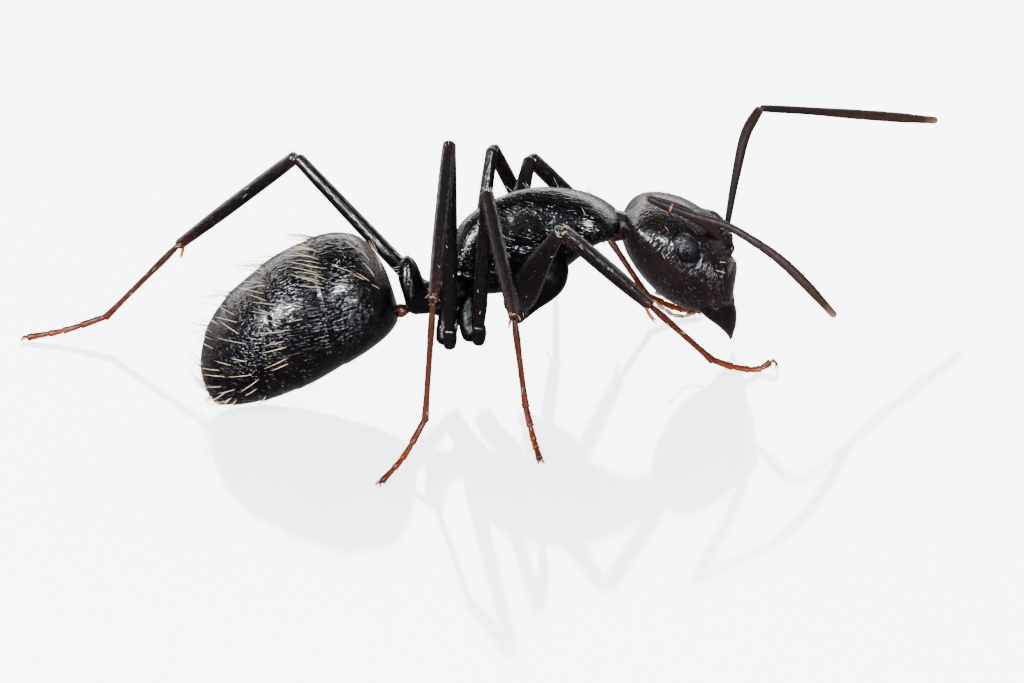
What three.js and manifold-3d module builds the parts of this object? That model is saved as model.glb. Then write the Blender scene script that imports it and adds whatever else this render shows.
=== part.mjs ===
// A black carpenter ant worker, life size, standing still on six feet with its head bent down.
// Lengths are in millimetres. +X is forward, +Y is the ant's left, +Z is up, and the floor is z = 0.
import * as THREE from "three";
import { mergeVertices } from "three/addons/utils/BufferGeometryUtils.js";
import Module from "manifold-3d";

const wasm = await Module();
wasm.setup();

// ---- driving sizes -------------------------------------------------------------------------

const GAP = 0.04; // clear space between two neighbouring pieces
const THIN = 0.25; // least radius of a leg or feeler
const FOOT_HEIGHT = 0.2; // height of a toe's axis, so that its underside is cut to a flat
const TOE_LENGTH = 0.5; // how much of each toe lies level on the floor
const RINGS = 16; // rings from end to end of a body part
const SIDES = 20; // sides round a body part
const LIMB_SIDES = 10; // sides round a limb
const CAP_STEPS = 2; // rings in each rounded end of a limb

const CENTRE = new THREE.Vector3(-0.34, 0.62, 0); // middle of the ant's plan, moved to the origin

const HEAD_MIDDLE = new THREE.Vector3(3.45, 0, 2.21);
const HEAD_DIP = THREE.MathUtils.degToRad(48); // how far the face points below level

const EYE_RADIUS = 0.32;
const EYE_DEPTH = 0.17;
const EYE_PLACE = [-0.1, 1.06, 0.35]; // along, across and above the head's own axis

const SCAPE_RADIUS = 0.25;
const FLAGELLUM_RADIUS = 0.25;

// Each leg by its joints, from the body to the toe, as forward, sideways from the middle, up.
const LEGS = {
  front_right: {
    side: -1,
    hip: [1.15, 0.5, 2.7],
    trochanter: [0.18, 1.1, 1.55],
    knee: [1.24, 2.7, 3.85],
    ankle: [2.83, 2.46, 1.93],
    heel: [3.93, 2.0, 0.5],
    toe: [5.05, 1.75, 0],
  },
  middle_right: {
    side: -1,
    hip: [-0.7, 0.6, 2.05],
    trochanter: [-0.66, 1.25, 1.22],
    knee: [-0.14, 1.69, 4.46],
    ankle: [0.1, 4.06, 2.6],
    heel: [0.11, 4.35, 0.8],
    toe: [0.26, 5.35, 0],
  },
  hind_right: {
    side: -1,
    hip: [-1.05, 0.36, 2.12],
    trochanter: [-1.24, 1.0, 1.12],
    knee: [-0.75, 1.32, 5.46],
    ankle: [-1.45, 4.17, 3.2],
    heel: [-1.9, 4.55, 0.85],
    toe: [-2.89, 5.5, 0],
  },
  front_left: {
    side: 1,
    hip: [1.0, 0.5, 2.6],
    trochanter: [0.05, 0.62, 1.2],
    knee: [0.81, 2.85, 3.48],
    ankle: [2.07, 3.38, 1.64],
    heel: [2.84, 2.4, 0.35],
    toe: [3.75, 2.0, 0],
  },
  middle_left: {
    side: 1,
    hip: [-0.15, 0.55, 2.05],
    trochanter: [-0.7, 1.25, 1.25],
    knee: [0.08, 2.9, 3.77],
    ankle: [0.85, 3.9, 1.21],
    heel: [1.0, 5.5, 0.4],
    toe: [1.1, 6.75, 0],
  },
  hind_left: {
    side: 1,
    hip: [-0.82, 0.42, 2.05],
    trochanter: [-1.3, 1.0, 1.12],
    knee: [-3.85, 3.1, 4.02],
    ankle: [-6.47, 4.63, 1.9],
    heel: [-8.14, 4.95, 0.42],
    toe: [-9.76, 5.35, 0],
  },
};

// Radii at the hip, trochanter, knee and ankle, and how much the coxa and the thigh swell between them.
const LEG_SIZES = {
  front: { coxa: [0.42, 0.3], coxaSwell: 0.1, femur: [0.26, 0.26], femurSwell: 0.07 },
  middle: { coxa: [0.28, 0.26], coxaSwell: 0.03, femur: [0.26, 0.25], femurSwell: 0.03 },
  hind: { coxa: [0.28, 0.26], coxaSwell: 0.03, femur: [0.26, 0.25], femurSwell: 0.03 },
};

// ---- colours -------------------------------------------------------------------------------

const shell = new THREE.MeshStandardMaterial({ color: "#0e0e12", roughness: 0.32, metalness: 0 });
const jaws = new THREE.MeshStandardMaterial({ color: "#1a0f0d", roughness: 0.35, metalness: 0 });
const eyes = new THREE.MeshStandardMaterial({ color: "#1d1d20", roughness: 0.45, metalness: 0 });
const feelers = new THREE.MeshStandardMaterial({ color: "#2a1512", roughness: 0.5, metalness: 0 });
const legs = new THREE.MeshStandardMaterial({ color: "#231411", roughness: 0.45, metalness: 0 });
const feet = new THREE.MeshStandardMaterial({ color: "#7a2f16", roughness: 0.5, metalness: 0 });

// ---- solids --------------------------------------------------------------------------------

// A closed three.js geometry as a manifold-3d solid that faces outwards.
function solid(geometry) {
  const bare = geometry.clone();
  bare.deleteAttribute("normal");
  bare.deleteAttribute("uv");
  const merged = mergeVertices(bare, 1e-5);
  const index = merged.index.array;
  const kept = [];
  for (let i = 0; i < index.length; i += 3) {
    const [a, b, c] = [index[i], index[i + 1], index[i + 2]];
    if (a !== b && b !== c && c !== a) kept.push(a, b, c);
  }
  const body = (corners) =>
    new wasm.Manifold(
      new wasm.Mesh({
        numProp: 3,
        vertProperties: new Float32Array(merged.attributes.position.array),
        triVerts: new Uint32Array(corners),
      }),
    );
  const made = body(kept);
  return made.volume() < 0 ? body(kept.reverse()) : made;
}

// Everything on the side of a plane that its normal points to, as one large block.
function beyond(point, normal) {
  const size = 40;
  const block = new THREE.BoxGeometry(size, size, size).translate(0, size / 2, 0);
  const turn = new THREE.Quaternion().setFromUnitVectors(
    new THREE.Vector3(0, 1, 0),
    normal.clone().normalize(),
  );
  block.applyQuaternion(turn).translate(point.x, point.y, point.z);
  return solid(block);
}

// Bends a geometry that stands on the Y axis, from y = 0 to y = length, along a curve.
function bend(geometry, curve, length) {
  const start = curve.getTangentAt(0);
  const first = new THREE.Quaternion().setFromUnitVectors(new THREE.Vector3(0, 1, 0), start);
  const spots = geometry.getAttribute("position");
  const point = new THREE.Vector3();
  for (let i = 0; i < spots.count; i++) {
    const along = spots.getY(i);
    const t = THREE.MathUtils.clamp(along / length, 0, 1);
    const turn = new THREE.Quaternion().setFromUnitVectors(start, curve.getTangentAt(t));
    point.set(spots.getX(i), along - t * length, spots.getZ(i));
    point.applyQuaternion(first).applyQuaternion(turn).add(curve.getPointAt(t));
    spots.setXYZ(i, point.x, point.y, point.z);
  }
  return geometry;
}

// A limb with rounded ends along a curve, its radius going from one size to another and swelling between.
function limb(curve, startRadius, endRadius, swell = 0, rings = 5) {
  const length = curve.getLength();
  const profile = [];
  for (let i = 0; i <= CAP_STEPS; i++) {
    const turn = (i / CAP_STEPS) * (Math.PI / 2);
    profile.push([startRadius * Math.sin(turn), -startRadius * Math.cos(turn)]);
  }
  for (let i = 1; i < rings; i++) {
    const t = i / rings;
    const radius = THREE.MathUtils.lerp(startRadius, endRadius, t);
    profile.push([radius + swell * Math.sin(Math.PI * t), t * length]);
  }
  for (let i = CAP_STEPS; i >= 0; i--) {
    const turn = (i / CAP_STEPS) * (Math.PI / 2);
    profile.push([endRadius * Math.sin(turn), length + endRadius * Math.cos(turn)]);
  }
  const points = profile.map(([radius, along]) => new THREE.Vector2(radius, along));
  points[0].x = 0;
  points[points.length - 1].x = 0;
  return solid(bend(new THREE.LatheGeometry(points, LIMB_SIDES), curve, length));
}

// A smooth body part between an upper and a lower rail, both in the middle plane and sharing their ends,
// with a half width at each of their points. grow makes it larger all round.
function loft(upper, lower, widths, grow = 0) {
  const rail = (points) =>
    new THREE.CatmullRomCurve3(points.map(([x, z]) => new THREE.Vector3(x, 0, z)));
  const upperRail = rail(upper);
  const lowerRail = rail(lower);
  const widthRail = new THREE.SplineCurve(widths.map((w, i) => new THREE.Vector2(i, w)));
  const ball = new THREE.SphereGeometry(1, SIDES, RINGS);
  const spots = ball.getAttribute("position");
  const point = new THREE.Vector3();
  for (let i = 0; i < spots.count; i++) {
    point.fromBufferAttribute(spots, i);
    const t = 1 - Math.acos(THREE.MathUtils.clamp(point.y, -1, 1)) / Math.PI;
    const round = Math.atan2(point.x, point.z);
    const top = upperRail.getPoint(t);
    const bottom = lowerRail.getPoint(t);
    const middle = top.clone().add(bottom).multiplyScalar(0.5);
    const up = top.clone().sub(bottom).multiplyScalar(0.5);
    const reach = up.length();
    if (reach > 1e-6) up.multiplyScalar((reach + grow) / reach);
    const half = reach > 1e-6 ? Math.max(widthRail.getPoint(t).y, 0.01) + grow : 0;
    middle.addScaledVector(up, Math.cos(round));
    middle.y += half * Math.sin(round);
    const atPole = reach <= 1e-6;
    if (atPole) middle.x += (t < 0.5 ? -1 : 1) * Math.sign(upper.at(-1)[0] - upper[0][0]) * grow;
    spots.setXYZ(i, middle.x, middle.y, middle.z);
  }
  return solid(ball);
}

// An ellipsoid with its own three half sizes.
function ellipsoid(sizes, turn, place) {
  const ball = new THREE.SphereGeometry(1, 12, 9).scale(...sizes);
  return solid(ball.applyQuaternion(turn).translate(place.x, place.y, place.z));
}

const line = (a, b) => new THREE.LineCurve3(a, b);
const vector = (list, side = 1) => new THREE.Vector3(list[0], list[1] * side, list[2]);

// Cuts two pieces that share a joint along the plane halfway between them, a gap apart.
function mitre(first, second, before, joint, after) {
  const back = before.clone().sub(joint).normalize();
  const on = after.clone().sub(joint).normalize();
  const normal = on.clone().sub(back).normalize();
  const half = normal.clone().multiplyScalar(GAP / 2);
  return [
    first.subtract(beyond(joint.clone().sub(half), normal)),
    second.subtract(beyond(joint.clone().add(half), normal.clone().negate())),
  ];
}

const ant = new THREE.Group();
ant.name = "carpenter_ant";

function add(name, body, material) {
  const mesh = body.getMesh();
  const geometry = new THREE.BufferGeometry();
  geometry.setAttribute("position", new THREE.BufferAttribute(mesh.vertProperties, 3));
  geometry.setIndex(new THREE.BufferAttribute(mesh.triVerts, 1));
  geometry.translate(-CENTRE.x, -CENTRE.y, -CENTRE.z);
  geometry.computeVertexNormals();
  const piece = new THREE.Mesh(geometry, material);
  piece.name = name;
  ant.add(piece);
}

// ---- gaster, waist and thorax --------------------------------------------------------------

const gaster = (grow = 0) =>
  loft(
    [[-2.13, 1.68], [-2.38, 2.58], [-2.78, 3.19], [-3.3, 3.33], [-3.9, 3.22], [-4.5, 2.99],
      [-5.1, 2.62], [-5.64, 2.2], [-6.05, 1.62], [-6.24, 0.92], [-6.14, 0.3]],
    [[-2.13, 1.68], [-2.2, 1.42], [-2.42, 1.2], [-2.82, 0.95], [-3.4, 0.68], [-4.0, 0.42],
      [-4.6, 0.23], [-5.15, 0.12], [-5.62, 0.1], [-5.98, 0.13], [-6.14, 0.3]],
    [0, 0.62, 1.02, 1.26, 1.37, 1.38, 1.29, 1.08, 0.8, 0.42, 0],
    grow,
  );

const thorax = (grow = 0) =>
  loft(
    [[-1.02, 2.05], [-1.0, 2.7], [-0.74, 3.24], [-0.2, 3.6], [0.5, 3.8], [1.2, 3.76],
      [1.9, 3.5], [2.36, 3.15], [2.5, 2.9]],
    [[-1.02, 2.05], [-0.95, 1.9], [-0.6, 1.78], [0.05, 1.74], [0.7, 1.82], [1.3, 2.15],
      [1.9, 2.56], [2.3, 2.66], [2.5, 2.9]],
    [0, 0.42, 0.56, 0.62, 0.68, 0.78, 0.82, 0.56, 0],
    grow,
  );

const petioleTurn = new THREE.Quaternion().setFromAxisAngle(new THREE.Vector3(0, 1, 0), -0.12);
const waistNode = ellipsoid([0.24, 0.42, 0.66], petioleTurn, new THREE.Vector3(-1.86, 0, 2.08));
const waistStalk = limb(
  line(new THREE.Vector3(-2.0, 0, 1.64), new THREE.Vector3(-1.05, 0, 1.95)),
  0.22,
  0.24,
);

// ---- head ----------------------------------------------------------------------------------

// A place on the head, given along its own axis, across it and above it.
function onHead(along, across, above) {
  return new THREE.Vector3(
    HEAD_MIDDLE.x + along * Math.cos(HEAD_DIP) + above * Math.sin(HEAD_DIP),
    across,
    HEAD_MIDDLE.z - along * Math.sin(HEAD_DIP) + above * Math.cos(HEAD_DIP),
  );
}

const headRail = (points) =>
  points.map(([along, above]) => {
    const spot = onHead(along, 0, above);
    return [spot.x, spot.z];
  });

const head = (grow = 0) =>
  loft(
    headRail([[-1.24, -0.12], [-1.15, 0.34], [-0.92, 0.62], [-0.5, 0.85], [0, 0.95], [0.38, 0.98],
      [0.68, 0.9], [0.95, 0.68], [1.28, 0.35], [1.46, 0.1], [1.5, -0.14]]),
    headRail([[-1.24, -0.12], [-1.1, -0.38], [-0.8, -0.62], [-0.35, -0.79], [0.1, -0.87], [0.5, -0.88],
      [0.86, -0.8], [1.1, -0.68], [1.32, -0.46], [1.45, -0.28], [1.5, -0.14]]),
    [0, 0.78, 1.06, 1.2, 1.22, 1.18, 1.12, 1.04, 0.9, 0.62, 0],
    grow,
  );

// Each limb of the head leaves the room of its neighbours free.
let headBody = head();
const headRoom = head(GAP);
const headTurn = new THREE.Quaternion().setFromAxisAngle(new THREE.Vector3(0, 1, 0), HEAD_DIP);

for (const [name, side] of [["right", -1], ["left", 1]]) {
  const [along, across, above] = EYE_PLACE;
  const place = onHead(along, across * side, above);
  const lens = (grow) => ellipsoid([EYE_RADIUS + grow, EYE_DEPTH + grow, EYE_RADIUS + grow], headTurn, place);
  headBody = headBody.subtract(lens(GAP));
  add(`eye_${name}`, lens(0), eyes);

  const root = onHead(1.36, 0.6 * side, -0.26);
  const bow = onHead(1.84, 0.6 * side, -0.3);
  const tip = onHead(2.1, 0.16 * side, -0.64);
  const jaw = limb(new THREE.QuadraticBezierCurve3(root, bow, tip), 0.34, 0.09, 0.02, 5);
  const ownSide = beyond(new THREE.Vector3(0, (GAP / 2) * side, 0), new THREE.Vector3(0, side, 0));
  add(`mandible_${name}`, jaw.subtract(headRoom).intersect(ownSide), jaws);
}

// ---- feelers -------------------------------------------------------------------------------

const FEELERS = {
  right: {
    base: [4.47, -0.4, 2.13],
    bends: [[4.27, -0.62, 2.65], [3.84, -1.15, 3.27]],
    elbow: [3.0, -2.16, 4.1],
    bows: [[4.5, -2.52, 3.44], [5.6, -2.72, 2.5]],
    tip: [6.43, -2.75, 1.34],
  },
  left: {
    base: [4.47, 0.4, 2.13],
    bends: [[4.87, 1.5, 3.09]],
    elbow: [5.51, 2.55, 4.03],
    bows: [[7.25, 3.75, 3.27]],
    tip: [9.08, 4.85, 2.5],
  },
};

for (const [name, spots] of Object.entries(FEELERS)) {
  const base = vector(spots.base);
  const elbow = vector(spots.elbow);
  const bends = spots.bends.map((spot) => vector(spot));
  const bows = spots.bows.map((spot) => vector(spot));
  const tip = vector(spots.tip);
  const scape = limb(new THREE.CatmullRomCurve3([base, ...bends, elbow]), SCAPE_RADIUS, SCAPE_RADIUS, 0, 6);
  const flagellum = limb(
    new THREE.CatmullRomCurve3([elbow, ...bows, tip]),
    FLAGELLUM_RADIUS,
    FLAGELLUM_RADIUS,
    0,
    9,
  );
  const [scapeBody, flagellumBody] = mitre(scape, flagellum, bends[bends.length - 1], elbow, bows[0]);
  add(`scape_${name}`, scapeBody.subtract(headRoom), feelers);
  add(`flagellum_${name}`, flagellumBody, feelers);
}

// ---- legs ----------------------------------------------------------------------------------

const thoraxRoom = thorax(GAP);
const middleCoxa = LEGS.middle_right;
const middleRoom = limb(
  line(vector(middleCoxa.hip, middleCoxa.side), vector(middleCoxa.trochanter, middleCoxa.side)),
  LEG_SIZES.middle.coxa[0] + GAP,
  LEG_SIZES.middle.coxa[1] + GAP,
  LEG_SIZES.middle.coxaSwell,
  4,
);
const floor = beyond(new THREE.Vector3(0, 0, 0), new THREE.Vector3(0, 0, -1));

for (const [name, spots] of Object.entries(LEGS)) {
  const sizes = LEG_SIZES[name.split("_")[0]];
  const [hip, trochanter, knee, ankle, heel, toe] = ["hip", "trochanter", "knee", "ankle", "heel", "toe"].map(
    (joint) => vector(spots[joint], spots.side),
  );
  const forward = toe.clone().sub(heel).setZ(0).normalize();
  const toeEnd = toe.clone().setZ(FOOT_HEIGHT);
  const toeStart = toeEnd.clone().addScaledVector(forward, -TOE_LENGTH);

  let coxa = limb(line(hip, trochanter), ...sizes.coxa, sizes.coxaSwell, 4);
  let femur = limb(line(trochanter, knee), ...sizes.femur, sizes.femurSwell, 5);
  let tibia = limb(line(knee, ankle), THIN, THIN, 0.01, 3);
  let tarsus = limb(new THREE.CatmullRomCurve3([ankle, heel, toeStart, toeEnd]), THIN, THIN, 0, 8);

  [coxa, femur] = mitre(coxa, femur, hip, trochanter, knee);
  if (name === "hind_right") {
    coxa = coxa.subtract(middleRoom);
    femur = femur.subtract(middleRoom);
  }
  [femur, tibia] = mitre(femur, tibia, trochanter, knee, ankle);
  [tibia, tarsus] = mitre(tibia, tarsus, knee, ankle, heel);

  add(`coxa_${name}`, coxa.subtract(thoraxRoom), shell);
  add(`femur_${name}`, femur.subtract(thoraxRoom), legs);
  add(`tibia_${name}`, tibia, legs);
  add(`tarsus_${name}`, tarsus.subtract(floor), feet);
}

// ---- the body's own pieces -----------------------------------------------------------------

const neck = limb(line(new THREE.Vector3(2.2, 0, 2.85), new THREE.Vector3(2.75, 0, 2.6)), 0.34, 0.22, 0, 3);

add("gaster", gaster(), shell);
add("petiole", waistNode.add(waistStalk).subtract(gaster(GAP)).subtract(thoraxRoom), shell);
add("thorax", thorax().add(neck).subtract(headRoom), shell);
add("head", headBody, shell);

export default ant;
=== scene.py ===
# A black carpenter ant worker at life size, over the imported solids. Shapes are worked out in millimetres in
# the ant's own plan and shrunk to metres as each mesh is made.
import math

import bpy
import numpy as np
from mathutils import Matrix, Vector


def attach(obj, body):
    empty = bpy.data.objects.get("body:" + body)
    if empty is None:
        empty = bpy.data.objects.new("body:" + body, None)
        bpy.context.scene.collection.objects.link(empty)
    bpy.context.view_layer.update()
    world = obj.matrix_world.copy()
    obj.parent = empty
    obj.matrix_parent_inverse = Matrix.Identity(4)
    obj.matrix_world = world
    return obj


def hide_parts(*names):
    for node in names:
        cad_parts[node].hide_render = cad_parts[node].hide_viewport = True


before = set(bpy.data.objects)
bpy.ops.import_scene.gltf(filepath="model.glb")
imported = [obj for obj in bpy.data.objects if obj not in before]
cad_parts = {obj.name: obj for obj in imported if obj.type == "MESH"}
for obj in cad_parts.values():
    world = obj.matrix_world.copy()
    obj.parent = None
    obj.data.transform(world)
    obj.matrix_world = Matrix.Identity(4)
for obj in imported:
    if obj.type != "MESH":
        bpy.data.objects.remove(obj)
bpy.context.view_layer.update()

CENTRE = np.array([-0.34, 0.62, 0.0])  # the plan's middle, which is the frame's origin
MM = 0.001
SIDES = (("right", -1), ("left", 1))  # each side's name and the sign of its y
chance = np.random.default_rng(20261)


# ---- curves ----------------------------------------------------------------------------------

def unit(v):
    v = np.asarray(v, float)
    return v / np.maximum(np.linalg.norm(v, axis=-1, keepdims=True), 1e-12)


def through(points, ts):
    """Places on a smooth curve through points, at even shares ts of its list of points."""
    p = np.asarray(points, float)
    last = len(p) - 1
    out = []
    for t in np.atleast_1d(ts):
        spot = min(max(float(t), 0.0), 1.0) * last
        i = min(int(spot), last - 1)
        w = spot - i
        p1, p2 = p[i], p[i + 1]
        p0 = p[i - 1] if i > 0 else 2 * p[0] - p[1]
        p3 = p[i + 2] if i + 2 <= last else 2 * p[last] - p[last - 1]
        d0, d1, d2 = (max(np.linalg.norm(b - a) ** 0.5, 1e-4) for a, b in ((p0, p1), (p1, p2), (p2, p3)))
        t1 = ((p1 - p0) / d0 - (p2 - p0) / (d0 + d1) + (p2 - p1) / d1) * d1
        t2 = ((p2 - p1) / d1 - (p3 - p1) / (d1 + d2) + (p3 - p2) / d2) * d1
        square, cube = -3 * p1 + 3 * p2 - 2 * t1 - t2, 2 * p1 - 2 * p2 + t1 + t2
        out.append(p1 + t1 * w + square * w ** 2 + cube * w ** 3)
    return np.array(out)


def eased(values, ts):
    """A smooth run of numbers through values spaced evenly from 0 to 1."""
    v = np.asarray(values, float)
    last = len(v) - 1
    out = []
    for t in np.atleast_1d(ts):
        spot = min(max(float(t), 0.0), 1.0) * last
        i = min(int(spot), last - 1)
        w = spot - i
        a, b = v[max(i - 1, 0)], v[min(i + 2, last)]
        m1, m2 = (v[i + 1] - a) / 2, (b - v[i]) / 2
        h = w * w * (3 - 2 * w)
        out.append(v[i] * (1 - h) + v[i + 1] * h + m1 * (w ** 3 - 2 * w ** 2 + w) + m2 * (w ** 3 - w ** 2))
    return np.array(out)


def bump_at(x, middle, width):
    return np.exp(-(((x - middle) / width) ** 2))


def step(x, start, end):
    w = np.clip((x - start) / (end - start), 0, 1)
    return w * w * (3 - 2 * w)


# ---- meshes ----------------------------------------------------------------------------------

def make(name, verts, faces, skin, uvs, nodes):
    """A named piece of the ant from points in plan millimetres. uvs maps a layer's name to a pair for each
    corner."""
    mesh = bpy.data.meshes.new(name)
    mesh.from_pydata(((np.asarray(verts) - CENTRE) * MM).tolist(), [], faces)
    for layer, pairs in uvs.items():
        made = mesh.uv_layers.new(name=layer)
        made.data.foreach_set("uv", np.asarray(pairs, np.float32).ravel())
    mesh.polygons.foreach_set("use_smooth", [True] * len(mesh.polygons))
    mesh.materials.append(skin)
    mesh.update()
    piece = bpy.data.objects.new(name, mesh)
    bpy.context.scene.collection.objects.link(piece)
    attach(piece, "root")
    if nodes:
        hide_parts(*nodes)


class Surface:
    """A closed body of rings from one end to the other. place(t, a) is a point in mm, with a from 0 to 1
    round the ring, starting and ending underneath."""

    def __init__(self, place, rings, sides, even=False):
        self.rings, self.sides = rings, sides
        line = np.linspace(0, 1, rings)
        self.t = line if even else (1 - np.cos(line * math.pi)) / 2
        self.a = np.linspace(0, 1, sides + 1)
        t, a = np.meshgrid(self.t, self.a, indexing="ij")
        self.grid = place(t, a)
        self.out = self.normals(self.grid)
        # lengths along and round the surface, for patterns that keep their size in millimetres
        step_along = np.linalg.norm(np.diff(self.grid, axis=0), axis=2).mean(1)
        self.along = np.concatenate([[0], np.cumsum(step_along)])
        self.girth = np.linalg.norm(np.diff(self.grid, axis=1), axis=2).sum(1)

    @staticmethod
    def normals(grid):
        lengthways = np.gradient(grid, axis=0)
        wrapped = np.concatenate([grid[:, -2:-1], grid, grid[:, 1:2]], axis=1)
        sideways = (wrapped[:, 2:] - wrapped[:, :-2]) / 2
        n = unit(np.cross(sideways, lengthways))
        middle = grid.mean(axis=(0, 1))
        if ((grid - middle) * n).sum() < 0:
            n = -n
        n[0], n[-1] = unit(n[1].mean(0)), unit(n[-2].mean(0))
        return n

    def push(self, amount):
        """Moves every point out along its normal by amount, in mm, and works out the normals again."""
        self.grid = self.grid + self.out * amount[..., None]
        self.grid[:, -1] = self.grid[:, 0]
        self.out = self.normals(self.grid)
        return self

    def mesh(self):
        """Its points, its faces, and the layers Skin, in millimetres, and Run, in shares round and along."""
        rings, sides = self.rings, self.sides
        body = self.grid[1:-1, :-1].reshape(-1, 3)
        verts = np.concatenate([body, self.grid[:1, 0], self.grid[-1:, 0]])
        faces, skin, run = [], [], []
        girth = np.maximum(self.girth, 1e-6)
        widest = girth.max()

        def corner(i, j):
            # patterns are laid out by angle at the body's widest girth, so that they never shear
            skin.append(((self.a[j] - 0.5) * widest, self.along[i]))
            run.append((self.a[j], self.t[i]))

        for i in range(1, rings - 2):
            for j in range(sides):
                k = (j + 1) % sides
                faces.append(((i - 1) * sides + j, (i - 1) * sides + k, i * sides + k, i * sides + j))
                for pair in ((i, j), (i, j + 1), (i + 1, j + 1), (i + 1, j)):
                    corner(*pair)
        first, last = len(body), len(body) + 1
        for j in range(sides):
            k = (j + 1) % sides
            faces.append((first, k, j))
            for pair in ((0, j), (1, j + 1), (1, j)):
                corner(*pair)
            base = (rings - 3) * sides
            faces.append((last, base + j, base + k))
            for pair in ((rings - 1, j), (rings - 2, j), (rings - 2, j + 1)):
                corner(*pair)
        # turn the faces round if they face inwards
        p = verts[list(faces[len(faces) // 3][:3])]
        n = np.cross(p[1] - p[0], p[2] - p[0])
        i, j = divmod(faces[len(faces) // 3][0], sides)
        if np.dot(n, self.out[i + 1, j]) < 0:
            faces = [f[::-1] for f in faces]
            skin, run = self.reversed_corners(faces, skin), self.reversed_corners(faces, run)
        return verts, faces, {"Skin": skin, "Run": run}

    @staticmethod
    def reversed_corners(faces, pairs):
        out, at = [], 0
        for f in faces:
            out.extend(pairs[at:at + len(f)][::-1])
            at += len(f)
        return out

    def at(self, t, a):
        """The point, outward normal and tangent towards the last ring, at shares t along and a round."""
        i = np.clip(np.searchsorted(self.t, t) - 1, 0, self.rings - 2)
        w = (t - self.t[i]) / (self.t[i + 1] - self.t[i])
        x = a * self.sides
        j = min(int(x), self.sides - 1)
        v = x - j

        def mix(g):
            near = g[i, j] * (1 - w) * (1 - v) + g[i + 1, j] * w * (1 - v)
            return near + g[i, j + 1] * (1 - w) * v + g[i + 1, j + 1] * w * v
        point, out = mix(self.grid), unit(mix(self.out))
        along = self.grid[i + 1, j] - self.grid[i, j]
        along = unit(along - out * np.dot(along, out))
        return point, out, along


def loft(upper, lower, widths, rings, sides):
    """A body between an upper and a lower rail in the middle plane, with a half width at each rail point."""
    def place(t, a):
        ts = t[:, 0]
        top, bottom = through(upper, ts), through(lower, ts)
        half = np.maximum(eased(widths, ts), 0)
        half[0] = half[-1] = 0
        turn = a * 2 * math.pi - math.pi
        middle, reach = (top + bottom) / 2, (top - bottom) / 2
        xz = middle[:, None, :] + reach[:, None, :] * np.cos(turn)[..., None]
        return np.stack([xz[..., 0], half[:, None] * np.sin(turn), xz[..., 1]], axis=-1)

    return Surface(place, rings, sides)


def tube(points, radii, rings=40, sides=20, flat=1.0, flat_way=(0, 0, 1), ends=0.6, shape=None):
    """A limb along a smooth line through points, its radius easing through radii, with rounded ends.
    flat squeezes it along flat_way, and shape(ts) is a factor on its radius."""
    def place(t, a):
        ts = t[:, 0]
        line = through(points, ts)
        before, after = (through(points, np.clip(ts + shift, 0, 1)) for shift in (-1e-3, 1e-3))
        tangent = unit(after - before)
        side = unit(np.cross(tangent, flat_way))
        over = unit(np.cross(side, tangent))
        steps = np.linalg.norm(np.diff(line, axis=0), axis=1)
        reach = np.concatenate([[0], np.cumsum(steps)])
        radius = eased(radii, ts) * (shape(ts) if shape else 1)
        for from_end, size in ((reach, radii[0]), (steps.sum() - reach, radii[-1])):
            near = np.clip(from_end / (size * ends), 0, 1)
            radius = radius * np.sqrt(np.clip(1 - (1 - near) ** 2, 0, 1))
        turn = a * 2 * math.pi - math.pi
        wide = side[:, None, :] * (np.sin(turn) * radius[:, None])[..., None]
        tall = over[:, None, :] * (np.cos(turn) * radius[:, None] * flat)[..., None]
        return line[:, None, :] + wide + tall

    return Surface(place, rings, sides, even=shape is not None)


def ellipsoid(middle, axes, sizes, rings=60, sides=60):
    """An ellipsoid with its own three directions and half sizes, its pole along the first."""
    def place(t, a):
        turn, polar = a * 2 * math.pi, t * math.pi
        local = np.stack([np.cos(polar), np.sin(polar) * np.cos(turn), np.sin(polar) * np.sin(turn)], -1)
        return middle + sum(local[..., k:k + 1] * sizes[k] * np.asarray(axes[k]) for k in range(3))

    return Surface(place, rings, sides)


def make_from(surfaces, name, skin, nodes, shared=False):
    """One piece of the ant from several surfaces. shared makes the colour's run go once along all of them,
    not once along each."""
    verts, faces, layers, at = [], [], {"Skin": [], "Run": []}, 0
    for number, surface in enumerate(surfaces):
        own_verts, own_faces, own_layers = surface.mesh()
        verts.append(own_verts)
        faces.extend([tuple(k + at for k in face) for face in own_faces])
        if shared:
            own_layers["Run"] = [(x, (number + y) / len(surfaces)) for x, y in own_layers["Run"]]
        for key in layers:
            layers[key].extend(own_layers[key])
        at += len(own_verts)
    make(name, np.concatenate(verts), faces, skin, layers, nodes)


# ---- materials -------------------------------------------------------------------------------

def material(name, colour, roughness, spec=0.2):
    made = bpy.data.materials.new(name)
    made.use_nodes = True
    shader = made.node_tree.nodes["Principled BSDF"]
    shader.inputs["Base Color"].default_value = (*colour, 1)
    shader.inputs["Roughness"].default_value = roughness
    shader.inputs["Specular IOR Level"].default_value = spec
    return made, made.node_tree, shader


def node(tree, kind, **settings):
    made = tree.nodes.new(kind)
    for key, value in settings.items():
        setattr(made, key, value)
    return made


def uv_place(tree, layer, scale=(1, 1, 1)):
    """A texture place from a UV layer, in its own units times scale."""
    uv = node(tree, "ShaderNodeUVMap", uv_map=layer)
    mapping = node(tree, "ShaderNodeMapping")
    mapping.inputs["Scale"].default_value = scale
    tree.links.new(uv.outputs[0], mapping.inputs[0])
    return mapping.outputs[0]


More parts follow.
